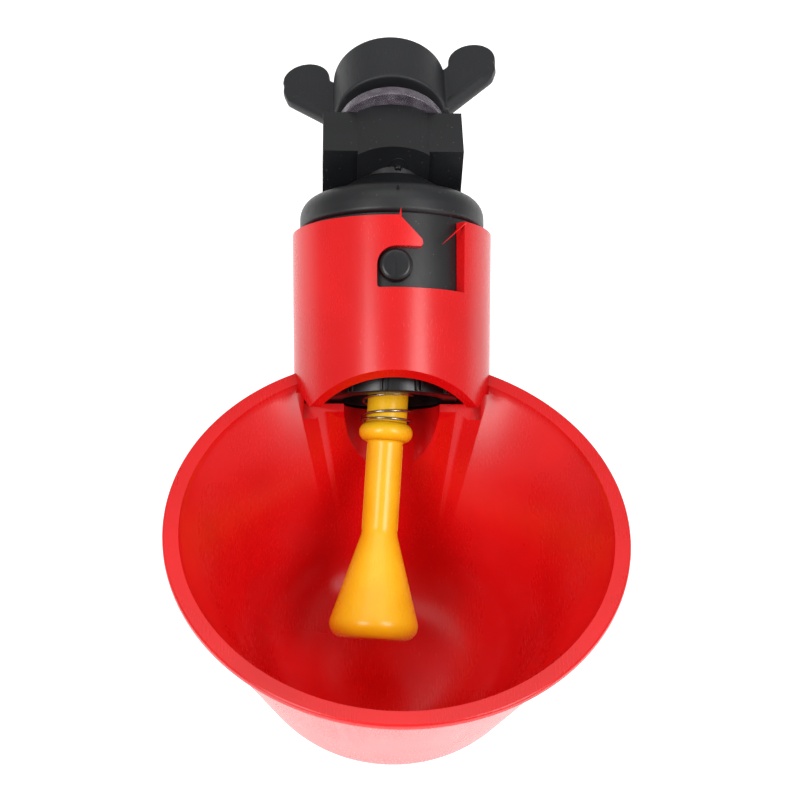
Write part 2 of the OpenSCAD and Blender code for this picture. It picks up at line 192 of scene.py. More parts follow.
def extrude(outline: Sequence[Point], low: float, high: float, place: Matrix, name: str = "plate",
            edge: float = 0.0) -> bpy.types.Object:
    """Extrudes a flat outline along the local Z axis.

    Args:
        outline: (x, y) points.
        low: height of the first face.
        high: height of the second face.
        place: where the result goes.
        name: the object's name.
        edge: radius of a rounding on the rims of both faces, or 0.

    Returns:
        A closed solid.
    """
    bm = bmesh.new()
    face = bm.faces.new([bm.verts.new((x, y, low)) for x, y in outline])
    top = bmesh.ops.extrude_face_region(bm, geom=[face], use_keep_orig=True)
    moved = [v for v in top["geom"] if isinstance(v, bmesh.types.BMVert)]
    bmesh.ops.translate(bm, verts=moved, vec=(0, 0, high - low))
    if edge > 0:
        rims = [e for e in bm.edges if abs(e.verts[0].co.z - e.verts[1].co.z) < 1e-6]
        bmesh.ops.bevel(bm, geom=rims, offset=edge, offset_type="OFFSET", affect="EDGES", segments=4,
                        profile=0.5, material=-1, clamp_overlap=True)
    return solid_from(bm, name, place)


def box(size: Vector, centre: Vector, place: Matrix, name: str = "block") -> bpy.types.Object:
    """Makes a box, in millimetres.

    Args:
        size: its size along each axis.
        centre: its centre.
        place: where the result goes.
        name: the object's name.

    Returns:
        A closed solid.
    """
    bm = bmesh.new()
    bmesh.ops.create_cube(bm, size=1, matrix=Matrix.Translation(centre) @ Matrix.Diagonal((*size, 1)))
    return solid_from(bm, name, place)


def helix_ridge(section: Sequence[Point], pitch: float, turns: float, place: Matrix, name: str,
                steps: int = 64) -> bpy.types.Object:
    """Sweeps a small closed section up a helix about the local Z axis.

    Args:
        section: (radius, height) points of the section.
        pitch: rise in one turn.
        turns: number of turns.
        place: where the result goes.
        name: the object's name.
        steps: segments in each turn.

    Returns:
        A closed solid.
    """
    bm = bmesh.new()
    face = bm.faces.new([bm.verts.new((r, 0, z)) for r, z in section])
    count = max(2, round(turns * steps))
    bmesh.ops.spin(bm, geom=[face], cent=(0, 0, 0), axis=(0, 0, 1), dvec=(0, 0, pitch * turns / count),
                   angle=FULL_TURN * turns, steps=count, use_merge=False, use_duplicate=False)
    return solid_from(bm, name, place)


def apply_modifiers(piece: bpy.types.Object) -> None:
    """Replaces an object's mesh with what its modifiers make of it.

    Args:
        piece: the object.
    """
    graph = bpy.context.evaluated_depsgraph_get()
    mesh = bpy.data.meshes.new_from_object(piece.evaluated_get(graph))
    old = piece.data
    piece.modifiers.clear()
    piece.data = mesh
    bpy.data.meshes.remove(old)


def carve(target: bpy.types.Object, tools: Sequence[bpy.types.Object], how: Carve) -> bpy.types.Object:
    """Cuts, joins or intersects a solid with each tool in turn, and removes the tools.

    Args:
        target: the solid that is changed.
        tools: the solids that act on it.
        how: what they do.

    Returns:
        The changed solid.
    """
    for tool in tools:
        modifier = target.modifiers.new("carve", "BOOLEAN")
        modifier.operation = how.value
        modifier.object = tool
        modifier.solver = "MANIFOLD"
        apply_modifiers(target)
        bpy.data.objects.remove(tool)
    return target


def merge(pieces: Sequence[bpy.types.Object], name: str) -> bpy.types.Object:
    """Gathers several solids into one object, without joining their surfaces.

    Args:
        pieces: the solids, which are removed.
        name: the new object's name.

    Returns:
        The object that holds them all.
    """
    bm = bmesh.new()
    for piece in pieces:
        bm.from_mesh(piece.data)
        bpy.data.objects.remove(piece)
    return solid_from(bm, name, Matrix.Identity(4))


def fuse(piece: bpy.types.Object, voxel: float, smoothing: int) -> bpy.types.Object:
    """Melts overlapping solids into one skin whose inner and outer corners are softly rounded.

    Args:
        piece: the solids, in millimetres.
        voxel: size of the cells that the skin is made on.
        smoothing: number of smoothing passes.

    Returns:
        The same object with its new mesh.
    """
    remesh = piece.modifiers.new("fuse", "REMESH")
    remesh.mode = "VOXEL"
    remesh.voxel_size = voxel
    apply_modifiers(piece)
    bm = bmesh.new()
    bm.from_mesh(piece.data)
    for _ in range(smoothing):
        bmesh.ops.smooth_vert(bm, verts=bm.verts, factor=0.5,
                              use_axis_x=True, use_axis_y=True, use_axis_z=True)
    bm.to_mesh(piece.data)
    bm.free()
    return piece


def settle(piece: bpy.types.Object, edge: float = 0.0, crease: float = 38.0,
           merge_dist: float = 0.02) -> None:
    """Cleans a finished mesh, takes it from millimetres to metres and softens its edges.

    Args:
        piece: the object.
        edge: width of the rounding on its sharp edges, or 0 for none.
        crease: the angle in degrees above which an edge counts as sharp.
        merge_dist: points closer than this become one.
    """
    bm = bmesh.new()
    bm.from_mesh(piece.data)
    bmesh.ops.remove_doubles(bm, verts=bm.verts, dist=merge_dist)
    bmesh.ops.dissolve_degenerate(bm, edges=bm.edges, dist=merge_dist / 2)
    bmesh.ops.scale(bm, verts=bm.verts, vec=(MM, MM, MM))
    bm.to_mesh(piece.data)
    bm.free()
    piece.data.shade_smooth()
    piece.data.set_sharp_from_angle(angle=math.radians(crease))
    if edge > 0:
        bevel = piece.modifiers.new("soft edges", "BEVEL")
        bevel.width = edge * MM
        bevel.segments = 3
        bevel.limit_method = "ANGLE"
        bevel.angle_limit = math.radians(crease)
        bevel.harden_normals = True
        bevel.use_clamp_overlap = True


# ---------------------------------------------------------------- finishes


def linear(hex_colour: str) -> tuple[float, float, float, float]:
    """Turns an sRGB hex colour into linear RGBA.

    Args:
        hex_colour: the colour, such as "#E01B22".

    Returns:
        Its red, green, blue and alpha.
    """
    parts = [int(hex_colour[i:i + 2], 16) / 255 for i in (1, 3, 5)]
    red, green, blue = [c / 12.92 if c <= 0.04045 else ((c + 0.055) / 1.055) ** 2.4 for c in parts]
    return red, green, blue, 1.0


def add_node(tree: bpy.types.NodeTree, kind: str, settings: dict[str, Any] | None = None,
             inputs: dict[str, Any] | None = None, stops: Sequence[tuple[float, Any]] = ()) -> bpy.types.Node:
    """Adds a node to a material.

    Args:
        tree: the material's node tree.
        kind: the node's type name.
        settings: attributes to set on it.
        inputs: values or sockets for its inputs, by name.
        stops: (position, linear RGBA) stops, for a colour ramp.

    Returns:
        The node.
    """
    node = tree.nodes.new(kind)
    for name, value in (settings or {}).items():
        setattr(node, name, value)
    for name, value in (inputs or {}).items():
        if isinstance(value, bpy.types.NodeSocket):
            tree.links.new(value, node.inputs[name])
        else:
            node.inputs[name].default_value = value
    if stops:
        ramp = node.color_ramp
        while len(ramp.elements) < len(stops):
            ramp.elements.new(0.5)
        for element, (position, colour) in zip(ramp.elements, stops):
            element.position = position
            element.color = colour
    return node


def start_material(name: str) -> tuple[bpy.types.Material, bpy.types.NodeTree, bpy.types.NodeSocket]:
    """Makes an empty node material.

    Args:
        name: the material's name.

    Returns:
        The material, its node tree and its object coordinates.
    """
    material = bpy.data.materials.new(name)
    material.use_nodes = True
    tree = material.node_tree
    tree.nodes.clear()
    coordinates = add_node(tree, "ShaderNodeTexCoord").outputs["Object"]
    return material, tree, coordinates


def finish_material(tree: bpy.types.NodeTree, inputs: dict[str, Any]) -> None:
    """Adds the shader with its inputs and joins it to the output."""
    shader = add_node(tree, "ShaderNodeBsdfPrincipled", inputs=inputs)
    add_node(tree, "ShaderNodeOutputMaterial", inputs={"Surface": shader.outputs["BSDF"]})


@dataclass(frozen=True)
class MouldedPlastic:
    """Injection-moulded thermoplastic.

    The steel mould leaves a fine grain, the melt leaves slow waves and tone shifts along its flow, and
    handling leaves hairline scuffs and a few specks of dust.
    """

    name: str
    deep: str
    light: str
    roughness: float
    spread: float
    grain_mm: float = 0.35
    grain_depth_mm: float = 0.004
    flow_mm: float = 14.0
    wave_depth_mm: float = 0.05
    scuff: float = 0.12
    specks: float = 0.0
    glow: float = 0.0
    ior: float = 1.49

    def material(self) -> bpy.types.Material:
        """Builds the material."""
        material, tree, where = start_material(self.name)
        flow = add_node(tree, "ShaderNodeTexNoise",
                        inputs={"Vector": where, "Scale": 1 / (self.flow_mm * MM), "Detail": 3.0,
                                "Roughness": 0.5})
        tone = add_node(tree, "ShaderNodeValToRGB", inputs={"Fac": flow.outputs["Fac"]},
                        stops=((0.32, linear(self.deep)), (0.68, linear(self.light))))
        streaks = add_node(tree, "ShaderNodeMapping", inputs={"Vector": where, "Scale": (1.0, 0.12, 0.4)})
        # Real scuffs are hairlines; these are drawn about 0.3 mm apart so that they show.
        scuffs = add_node(tree, "ShaderNodeTexNoise",
                          inputs={"Vector": streaks.outputs["Vector"], "Scale": 1 / (0.3 * MM), "Detail": 5.0,
                                  "Roughness": 0.65})
        marks = add_node(tree, "ShaderNodeMapRange",
                         inputs={"Value": scuffs.outputs["Fac"], "From Min": 0.5, "From Max": 0.74,
                                 "To Min": 0.0, "To Max": self.scuff})
        gloss = add_node(tree, "ShaderNodeMapRange",
                         inputs={"Value": flow.outputs["Fac"], "From Min": 0.25, "From Max": 0.75,
                                 "To Min": self.roughness - self.spread,
                                  "To Max": self.roughness + self.spread})
        rough = add_node(tree, "ShaderNodeMath", {"operation": "ADD"})
        tree.links.new(gloss.outputs["Result"], rough.inputs[0])
        tree.links.new(marks.outputs["Result"], rough.inputs[1])
        colour = tone.outputs["Color"]
        if self.specks > 0:
            colour = self.speckled(tree, where, colour)
        grain = add_node(tree, "ShaderNodeTexNoise",
                         inputs={"Vector": where, "Scale": 1 / (self.grain_mm * MM), "Detail": 4.0})
        waves = add_node(tree, "ShaderNodeBump",
                         inputs={"Height": flow.outputs["Fac"], "Strength": 1.0,
                                  "Distance": self.wave_depth_mm * MM})
        skin = add_node(tree, "ShaderNodeBump",
                        inputs={"Height": grain.outputs["Fac"], "Strength": 1.0,
                                "Distance": self.grain_depth_mm * MM, "Normal": waves.outputs["Normal"]})
        inputs: dict[str, Any] = {"Base Color": colour, "Roughness": rough.outputs["Value"], "IOR": self.ior,
                                  "Normal": skin.outputs["Normal"]}
        if self.glow > 0:
            inputs.update({"Subsurface Weight": self.glow, "Subsurface Scale": 1.5 * MM,
                           "Subsurface Radius": linear(self.light)[:3]})
        finish_material(tree, inputs)
        return material

    def speckled(self, tree: bpy.types.NodeTree, where: bpy.types.NodeSocket,
                 colour: bpy.types.NodeSocket) -> bpy.types.NodeSocket:
        """Scatters pale specks of dust over a colour.

        Args:
            tree: the material's node tree.
            where: object coordinates.
            colour: the colour under the dust.

        Returns:
            The speckled colour.
        """
        dots = add_node(tree, "ShaderNodeTexVoronoi", inputs={"Vector": where, "Scale": 1 / (1.3 * MM)})
        near = add_node(tree, "ShaderNodeMapRange",
                        inputs={"Value": dots.outputs["Distance"], "From Min": 0.05, "From Max": 0.10,
                                "To Min": self.specks, "To Max": 0.0})
        dusty = add_node(tree, "ShaderNodeMix", {"data_type": "RGBA"}, {"Factor": near.outputs["Result"]})
        tree.links.new(colour, dusty.inputs[6])
        dusty.inputs[7].default_value = linear("#B9B6B2")
        return dusty.outputs[2]


@dataclass(frozen=True)
class ClearPlastic:
    """Soft clear PVC, cut from sheet: see-through with a violet cast, small bubbles and a dull cut edge."""

    name: str
    tint: str
    roughness: float

    def material(self) -> bpy.types.Material:
        """Builds the material."""
        material, tree, where = start_material(self.name)
        cloud = add_node(tree, "ShaderNodeTexNoise",
                         inputs={"Vector": where, "Scale": 1 / (1.6 * MM), "Detail": 4.0})
        tone = add_node(tree, "ShaderNodeValToRGB", inputs={"Fac": cloud.outputs["Fac"]},
                        stops=((0.35, linear("#7D7280")), (0.65, linear(self.tint))))
        bubbles = add_node(tree, "ShaderNodeTexVoronoi", inputs={"Vector": where, "Scale": 1 / (1.1 * MM)})
        dents = add_node(tree, "ShaderNodeBump",
                         inputs={"Height": bubbles.outputs["Distance"], "Strength": 0.4,
                                  "Distance": 0.04 * MM})
        finish_material(tree, {"Base Color": tone.outputs["Color"], "Roughness": self.roughness, "IOR": 1.52,
                               "Transmission Weight": 0.8, "Normal": dents.outputs["Normal"]})
        return material


@dataclass(frozen=True)
class DrawnSteel:
    """Stainless spring wire: drawn through a die, which leaves fine lines along it and a warm dull shine."""

    name: str
    deep: str
    light: str
    roughness: float

    def material(self) -> bpy.types.Material:
        """Builds the material."""
        material, tree, where = start_material(self.name)
        lines = add_node(tree, "ShaderNodeTexNoise",
                         inputs={"Vector": where, "Scale": 1 / (0.25 * MM), "Detail": 3.0})
        tone = add_node(tree, "ShaderNodeValToRGB", inputs={"Fac": lines.outputs["Fac"]},
                        stops=((0.3, linear(self.deep)), (0.7, linear(self.light))))
        skin = add_node(tree, "ShaderNodeBump",
                        inputs={"Height": lines.outputs["Fac"], "Strength": 0.5, "Distance": 0.01 * MM})
        finish_material(tree, {"Base Color": tone.outputs["Color"], "Metallic": 1.0,
                               "Roughness": self.roughness, "Normal": skin.outputs["Normal"]})
        return material


@dataclass(frozen=True)
class Palette:
    """Every finish on the object."""

    cup: MouldedPlastic = MouldedPlastic("red polypropylene, moulded", "#C80408", "#DC0C10", 0.27, 0.03,
                                         grain_mm=0.5, grain_depth_mm=0.002, flow_mm=24.0, wave_depth_mm=0.05,
                                         scuff=0.03, glow=0.05)
    body: MouldedPlastic = MouldedPlastic("black polypropylene, moulded", "#0E0F11", "#16171A", 0.42, 0.04,
                                          grain_depth_mm=0.006, specks=0.14)
    cap: MouldedPlastic = MouldedPlastic("black polypropylene, polished mould", "#0B0C0E", "#121316",
                                         0.30, 0.04)
    wing: MouldedPlastic = MouldedPlastic("black nylon, moulded", "#131417", "#1B1C1F", 0.48, 0.04,
                                          grain_depth_mm=0.005, specks=0.05)
    trigger: MouldedPlastic = MouldedPlastic("yellow acetal, moulded", "#EAAA0C", "#F6C01C", 0.26, 0.03,
                                             grain_mm=0.6, flow_mm=12.0, wave_depth_mm=0.03,
                                              scuff=0.03, glow=0.08)
    rubber: MouldedPlastic = MouldedPlastic("black nitrile rubber, moulded", "#0C0C0D", "#131314", 0.62, 0.06,
                                            grain_depth_mm=0.01)
    washer: ClearPlastic = ClearPlastic("clear PVC sheet, cut", "#B4A8B6", 0.22)
    spring: DrawnSteel = DrawnSteel("stainless spring wire, drawn", "#6F6259", "#C9C2BA", 0.26)


# ---------------------------------------------------------------- places in the frame


@dataclass(frozen=True)
class Places:
    """The object's axes and stations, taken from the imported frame. Lengths are in millimetres."""

    valve: Matrix
    clamp: Matrix
    rim: Matrix
    trigger: Matrix
    pivot: float
    washer_front: float
    nut_front: float

    @staticmethod
    def from_frame(frame: dict[str, Any], cup_depth: float, rim_radius: float, lean: float) -> "Places":
        """Reads the places from the frame.

        Args:
            cup_depth: outside depth of the cup.
            rim_radius: outside radius of the rim.
            lean: the trigger's lean from the valve axis at rest, in degrees.

        Returns:
            The places.
        """
        joints = {joint["name"]: joint for joint in frame["joints"]}
        axis = Vector(joints["cup_twist"]["axis"])
        pivot = Vector(joints["trigger_tilt"]["pos_m"]) / MM
        valve = Matrix.Rotation(-math.atan2(axis.y, axis.z), 4, "X")
        low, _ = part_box("drinking_cup")
        rim = Matrix.Translation((0, low.y / MM + rim_radius, low.z / MM + cup_depth))
        along = -pivot.length
        trigger = valve @ Matrix.Translation((0, 0, along)) @ Matrix.Rotation(math.radians(lean), 4, "Y")
        nut_low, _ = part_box("wing_nut")
        washer_low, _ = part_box("clear_washer")
        return Places(valve, Matrix.Rotation(-math.pi / 2, 4, "X"), rim, trigger, along, washer_low.y / MM,
                      nut_low.y / MM)


@dataclass
class SubAssembly:
    """What every sub-assembly shares: its places, its finishes and how a piece is handed to the frame."""

    places: Places
    materials: dict[str, bpy.types.Material]

    def hand_over(self, piece: bpy.types.Object, finish: str, body: str, slot: str,
                  *nodes: str) -> bpy.types.Object:
        """Dresses a piece and makes it ride on its body.

        Args:
            piece: the finished mesh object, in metres.
            finish: the name of its finish in the palette.
            body: the CAD body that it moves with.
            slot: the record's material slot; not used.
            nodes: the CAD nodes that it stands for.

        Returns:
            The piece.
        """
        piece.data.materials.clear()
        piece.data.materials.append(self.materials[finish])
        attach(piece, body)
        if nodes:
            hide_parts(*nodes)
        LOG.info("%s: %d faces on %s", piece.name, len(piece.data.polygons), body)
        return piece


# ---------------------------------------------------------------- cup


@dataclass
class Cup(SubAssembly):
    """The red cup, moulded in one with its collar, bayonet slots and ledge."""

    rim_radius: float = 40.0
    depth: float = 44.0
    wall: float = 2.0
    wall_lean: float = 0.405
    base_curve: float = 16.0
    lip_out: float = 0.6
    lip_thick: float = 1.4
    collar_top: float = -15.5
    collar_height: float = 31.3
    bore: float = 16.35
    collar_wall: float = 2.05
    draft: float = 0.5
    ledge: float = 1.9
    hole: float = 8.8
    pin_radius: float = 3.0
    pin_clear: float = 0.35
    pin_drop: float = 8.9
    slot_floor: float = 4.1
    slot_angle: float = 43.0
    hook_reach: float = 4.8
    hook_tip: float = 1.2
    overhang: float = 15.5
    overhang_rise: float = 1.2
    foot_reach: float = 9.6
    foot_drop: float = 12.5
    rim_back: float = 41.77
    step_depth: float = 1.6
    step_in: float = 0.35

    def build(self) -> None:
        """Builds the cup and its flash marks."""
        cup = carve(self.bowl(), [self.bowl_core()], Carve.CUT)
        cup.name = "cup"
        cup = carve(cup, [self.collar(), self.foot()], Carve.JOIN)
        cup = carve(cup, [self.bore_core(), self.mouth_core(), self.hole_core()], Carve.CUT)
        settle(cup, edge=0.28, merge_dist=0.05)
        self.hand_over(cup, "cup", "cup", "red_plastic", "drinking_cup")
        self.flash()

    def bowl_outline(self, top: float, depth: float, curve: float, lip: bool) -> list[Point]:
        """The bowl's (radius, height) outline, from the axis at the rim's level to the axis at the base.

        Args:
            top: radius of the wall at the rim.
            depth: depth of the outline.
            curve: radius between wall and base.
            lip: whether the rim's lip stands out from it.

        Returns:
            The outline's points.
        """
        foot = top - self.wall_lean * depth
        corners: list[Corner] = [(0, 0, 0)]
        if lip:
            out = top + self.lip_out
            under = top - self.wall_lean * (self.lip_thick + 0.3)
            corners += [(out, 0, 0.45), (out, -self.lip_thick, 0.5), (under, -self.lip_thick - 0.3, 0.3)]
        else:
            corners += [(top + self.wall_lean, 1.0, 0)]
            corners[0] = (0, 1.0, 0)
        corners += [(foot, -depth, curve), (0, -depth, 0)]
        return rounded(corners, closed=False, steps=14)

    def bowl(self) -> bpy.types.Object:
        """The bowl's outside as a solid, with its lip."""
        outline = self.bowl_outline(self.rim_radius - self.lip_out, self.depth, self.base_curve, True)
        return revolve(outline, self.places.rim, "bowl", steps=200)

    def bowl_core(self) -> bpy.types.Object:
        """The bowl's hollow, with the small step under the lip."""
        inner = self.wall / math.cos(math.atan(self.wall_lean))
        top = self.rim_radius - self.lip_out - inner
        outline = self.bowl_outline(top, self.depth - self.wall, self.base_curve - self.wall, False)
        at_step = top - self.wall_lean * self.step_depth
        step = [(r, z) for r, z in outline[:2]]
        step += [(at_step, -self.step_depth), (at_step - self.step_in, -self.step_depth - 0.25)]
        rest = [(max(r - self.step_in, 0.0), z) for r, z in outline[2:]]
        return revolve(step + rest, self.places.rim, "bowl_core", steps=200)

    def collar(self) -> bpy.types.Object:
        """The collar as a solid plug, with its slots cut and its overhang trimmed."""
        outer = self.bore + self.collar_wall
        foot = self.collar_top - self.collar_height - self.ledge
        sleeve = self.hole + self.wall
        sleeve_foot = foot - 10.6
        outline = [(0, self.collar_top), (outer, self.collar_top), (outer - self.draft, foot), (sleeve, foot),
                   (sleeve, sleeve_foot), (0, sleeve_foot)]
        plug = revolve(outline, self.places.valve, "collar", steps=160)
        tools = [self.overhang_cut()]
        for turn in (0.0, math.pi):
            place = self.places.valve @ Matrix.Rotation(turn, 4, "Z")
            tools += [self.slot_cut(place), self.slot_wedge(place)]
        return carve(plug, tools, Carve.CUT)

    def foot(self) -> bpy.types.Object:
        """The collar's foot, which fills the corner between the collar and the bowl's wall."""
        low = self.collar_top - self.collar_height - self.foot_drop
        radius = self.bore + self.collar_wall - self.draft
        outline = [(0, low), (radius, low), (radius, low + self.foot_drop), (0, low + self.foot_drop)]
        plug = revolve(outline, self.places.valve, "foot", steps=160)
        plug = carve(plug, [self.bowl()], Carve.KEEP)
        return carve(plug, [self.overhang_cut()], Carve.CUT)

    def front_of(self, reach: float) -> float:
        """Where a plane that far in front of the valve axis at the rim stands, along the frame's Y.

        Args:
            reach: distance in front of the valve axis.

        Returns:
            The plane's place.
        """
        return self.places.rim.translation.y + self.rim_back - reach

    def overhang_cut(self) -> bpy.types.Object:
        """The space in front of and below the collar's overhang and foot."""
        centre = self.places.rim.translation
        front, back = self.front_of(self.overhang), self.front_of(self.foot_reach)
        low, high = centre.z, centre.z + 80
        far = centre.y - 80
        outline = [(far, low - self.depth), (back, low - self.depth), (back, low),
                   (front, low + self.overhang_rise), (front, high), (far, high)]
        yz = Matrix(((0, 0, 1, 0), (1, 0, 0, 0), (0, 1, 0, 0), (0, 0, 0, 1)))
        return extrude(outline, -60, 60, yz, "overhang_cut")

    def slot_cut(self, place: Matrix) -> bpy.types.Object:
        """The slot with its round pin pocket, leaving the hook.

        Args:
            place: the valve's place, turned to this slot's side.

        Returns:
            The solid to cut from the collar.
        """
        pin = self.collar_top - self.pin_drop
        pocket = self.pin_radius + self.pin_clear
        low, high = pin - self.slot_floor, self.collar_top + 3
        tip_z = pin + pocket + self.hook_tip
        right = self.bore * math.sin(math.radians(self.slot_angle)) - 0.6
        corners: list[Corner] = [(right, high, 0), (right, low, 0), (-pocket, low, 0.5),
                                 (-pocket, pin + pocket, pocket),
                                 (self.hook_reach, pin + pocket, self.hook_tip * 0.55),
                                 (self.hook_reach, tip_z, self.hook_tip * 0.7), (0.6, self.collar_top, 0.2),
                                 (0.4, high, 0)]
        across = place @ Matrix.Rotation(math.pi / 2, 4, "X")
        return extrude(rounded(corners, steps=10), 10, 30, across, "slot_cut")

    def slot_wedge(self, place: Matrix) -> bpy.types.Object:
        """The end of the slot, whose far wall points at the axis.

        Args:
            place: the valve's place, turned to this slot's side.

        Returns:
            The solid to cut from the collar.
        """
        low = self.collar_top - self.pin_drop - self.slot_floor
        near, far = math.radians(26 - 90), math.radians(self.slot_angle - 90)
        outline = [(r * math.cos(a), r * math.sin(a))
                   for r, a in ((15, near), (25, near), (25, far), (15, far))]
        return extrude(outline, low, self.collar_top + 3, place, "slot_wedge")

    def bore_core(self) -> bpy.types.Object:
        """The bore that takes the spigot."""
        low = self.collar_top - self.collar_height
        outline = [(0, low), (self.bore, low), (self.bore, self.collar_top + 2), (0, self.collar_top + 2)]
        return revolve(outline, self.places.valve, "bore_core", steps=160)

    def mouth_core(self) -> bpy.types.Object:
        """The ledge's open front half, where the bore runs on into the cup."""
        low = self.collar_top - self.collar_height - self.ledge - 1
        arc = [(self.bore * math.cos(a), self.bore * math.sin(a))
               for a in [math.pi + math.pi * k / 60 for k in range(61)]]
        return extrude(arc, low, low + self.ledge + 2, self.places.valve, "mouth_core")

    def hole_core(self) -> bpy.types.Object:
        """The hole that the trigger hangs through."""
        low = self.collar_top - self.collar_height
        outline = [(0, low - 40), (self.hole, low - 40), (self.hole, low + 1), (0, low + 1)]
        return revolve(outline, self.places.valve, "hole_core", steps=96)

    def flash(self) -> None:
        """The two slivers of mould flash: a curl across the slot and a spike at the hook's root."""
        radius = self.bore + self.collar_wall - 0.25
        top = self.collar_top

        def on_collar(angle: float, height: float) -> Vector:
            """A point on the collar's outside, in the valve axis frame."""
            turn = math.radians(angle - 90)
            return Vector((radius * math.cos(turn), radius * math.sin(turn), height))

        curl = [on_collar(self.slot_angle + 1.0 - 4.2 * k, top - 0.2 - 1.15 * k) for k in range(5)]
        spike = [on_collar(2.2 + 0.2 * k, top - 0.5 + 0.6 * k) for k in range(4)]
        strands = []
        for points, thick in ((curl, 0.34), (spike, 0.30)):
            bm = bmesh.new()
            ring = None
            for k, point in enumerate(points):
                size = thick * (1 - 0.85 * k / (len(points) - 1))
                made = bmesh.ops.create_circle(bm, radius=size, segments=8, matrix=Matrix.Translation(point))
                loop = list({e for v in made["verts"] for e in v.link_edges})
                if ring:
                    bmesh.ops.bridge_loops(bm, edges=ring + loop)
                ring = loop
            bmesh.ops.holes_fill(bm, edges=bm.edges)
            strands.append(solid_from(bm, "strand", self.places.valve))
        piece = merge(strands, "cup_flash")
        settle(piece)
        self.hand_over(piece, "cup", "cup", "red_plastic")


# ---------------------------------------------------------------- valve body


